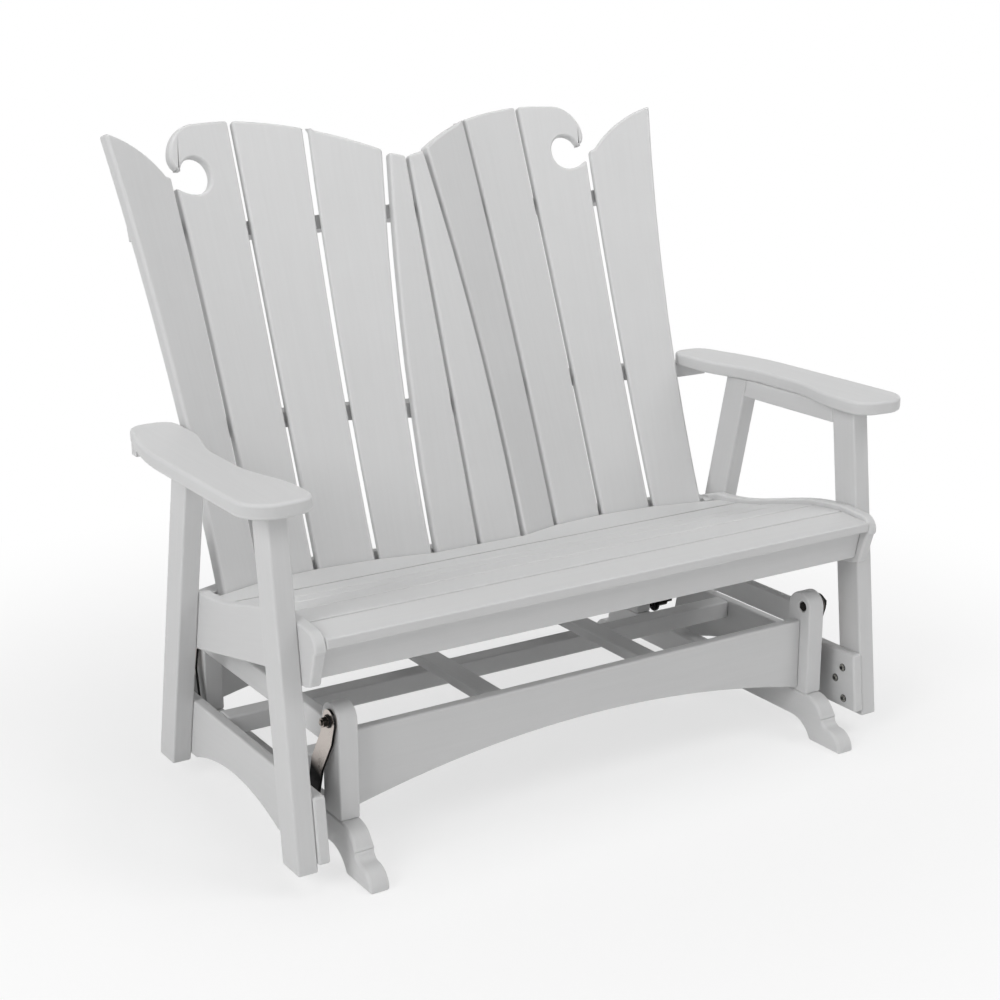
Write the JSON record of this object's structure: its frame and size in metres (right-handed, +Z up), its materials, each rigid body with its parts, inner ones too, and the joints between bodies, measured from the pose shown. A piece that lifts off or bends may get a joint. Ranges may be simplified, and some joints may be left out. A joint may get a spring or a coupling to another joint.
{
  "type": "patio glider",
  "caption": "Two-seat patio glider bench with a fan back of scrolled slats, hung on a low base by flat swinging straps.",
  "frame": {"origin": "on the floor under the middle of the whole glider at rest", "axes": "+X to the right across the seat as seen from the front, +Y towards the back, +Z up; a sitter faces -Y"},
  "size_m": [1.434, 0.9375, 1.2214],
  "materials": {
    "lumber": "light grey moulded board with a fine matt grain",
    "strap_steel": "bright nickel-plated flat strap",
    "fastener_steel": "plain stainless",
    "bushing": "black nylon",
    "black_bolt": "black coated"
  },
  "bodies": {
    "base": {"foot_rail_left": "lumber", "foot_rail_right": "lumber", "post_front_left": "lumber", "post_front_right": "lumber", "post_rear_left": "lumber", "post_rear_right": "lumber", "base_rail_front": "lumber", "base_rail_rear": "lumber", "base_rail_left": "lumber", "base_rail_right": "lumber", "cross_member_left": "lumber", "cross_member_right": "lumber", "base_bolts": "fastener_steel", "base_bushings": "bushing", "base_nuts": "fastener_steel"},
    "hanger_front_left": {"hanger_front_left": "strap_steel"},
    "hanger_front_right": {"hanger_front_right": "strap_steel"},
    "hanger_rear_left": {"hanger_rear_left": "strap_steel"},
    "hanger_rear_right": {"hanger_rear_right": "strap_steel"},
    "carriage": {"leg_front_left": "lumber", "leg_front_right": "lumber", "leg_rear_left": "lumber", "leg_rear_right": "lumber", "lower_rail_left": "lumber", "lower_rail_right": "lumber", "stretcher_front": "lumber", "stretcher_rear": "lumber", "seat_rail_left": "lumber", "seat_rail_right": "lumber", "seat_apron": "lumber", "seat_support_left": "lumber", "seat_support_middle": "lumber", "seat_support_right": "lumber", "seat_nose": "lumber", "seat_slat_1": "lumber", "seat_slat_2": "lumber", "seat_slat_3": "lumber", "seat_slat_4": "lumber", "seat_rear_board": "lumber", "back_slat_1": "lumber", "back_slat_2": "lumber", "back_slat_3": "lumber", "back_slat_4": "lumber", "back_slat_5": "lumber", "back_slat_6": "lumber", "back_slat_7": "lumber", "back_slat_8": "lumber", "back_slat_9": "lumber", "back_slat_10": "lumber", "back_brace_top": "lumber", "back_brace_arm": "lumber", "back_brace_seat": "lumber", "arm_left": "lumber", "arm_right": "lumber", "arm_rail_left": "lumber", "arm_rail_right": "lumber", "carriage_bolts": "fastener_steel", "carriage_bushings": "bushing", "carriage_spacers": "fastener_steel", "leg_bolts": "black_bolt"}
  },
  "joints": [
    {"name": "front_left_swing", "type": "hinge", "parent": "base", "child": "hanger_front_left", "pos_m": [-0.5535, -0.34205, 0.2755], "axis": [1, 0, 0], "range_deg": [-10, 10]},
    {"name": "front_right_swing", "type": "hinge", "parent": "base", "child": "hanger_front_right", "pos_m": [0.5535, -0.34205, 0.2755], "axis": [1, 0, 0], "range_deg": [-10.5, 10.5]},
    {"name": "rear_left_swing", "type": "hinge", "parent": "base", "child": "hanger_rear_left", "pos_m": [-0.5535, 0.24775, 0.2755], "axis": [1, 0, 0], "range_deg": [-10.5, 10.5]},
    {"name": "rear_right_swing", "type": "hinge", "parent": "base", "child": "hanger_rear_right", "pos_m": [0.5535, 0.24775, 0.2755], "axis": [1, 0, 0], "range_deg": [-10.5, 10.5]},
    {"name": "carriage_pivot", "type": "hinge", "parent": "hanger_front_left", "child": "carriage", "pos_m": [-0.5645, -0.29006, 0.1126], "axis": [1, 0, 0], "range_deg": [-12.2, 12.2]}
  ],
  "couplings": [
    {"joint": "front_right_swing", "follows": "front_left_swing", "ratio": 1},
    {"joint": "rear_left_swing", "follows": "front_left_swing", "ratio": 0.9648},
    {"joint": "rear_right_swing", "follows": "front_left_swing", "ratio": 0.9648},
    {"joint": "carriage_pivot", "follows": "front_left_swing", "ratio": -1.1638}
  ]
}
